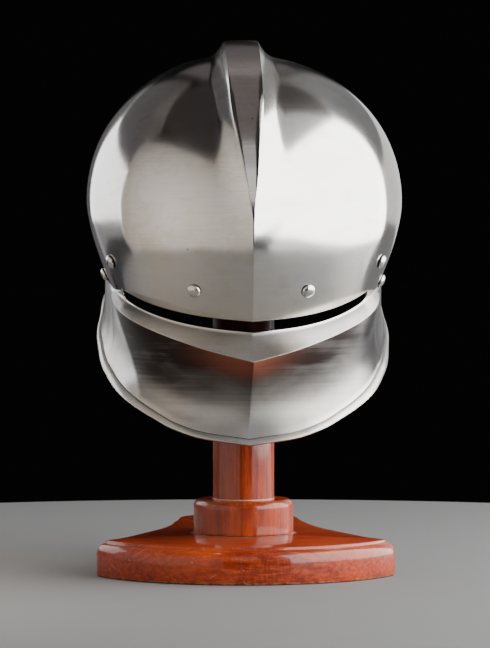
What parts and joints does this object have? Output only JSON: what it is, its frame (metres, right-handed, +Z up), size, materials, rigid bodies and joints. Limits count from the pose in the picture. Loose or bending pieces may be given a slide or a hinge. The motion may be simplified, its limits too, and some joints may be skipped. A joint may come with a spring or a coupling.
{
  "type": "sallet on a wooden stand",
  "caption": "Steel helmet with a rounded skull, raised comb, long eye slot, fixed face and flared tail, on a turned wooden stand.",
  "frame": {"origin": "on the post's axis, on the underside of the stand's base", "axes": "+Z up along the post, -Y towards the helmet's face, +X to the right of someone who looks at the face"},
  "size_m": [0.2234, 0.3443, 0.3784],
  "materials": {
    "helmet_steel": "satin polished steel with fine brush lines and faint yellowish stains",
    "rivet_steel": "polished domed rivet heads",
    "stand_wood": "glossy red-brown varnished wood"
  },
  "bodies": {
    "root": {"skull": "helmet_steel", "lining_rivet_right_1": "rivet_steel", "lining_rivet_right_2": "rivet_steel", "lining_rivet_right_3": "rivet_steel", "lining_rivet_right_4": "rivet_steel", "lining_rivet_left_1": "rivet_steel", "lining_rivet_left_2": "rivet_steel", "lining_rivet_left_3": "rivet_steel", "lining_rivet_left_4": "rivet_steel", "lining_rivet_rear": "rivet_steel", "strap_rivet_right": "rivet_steel", "strap_rivet_left": "rivet_steel", "stand_base": "stand_wood", "stand_collar": "stand_wood", "stand_post": "stand_wood"}
  },
  "joints": []
}
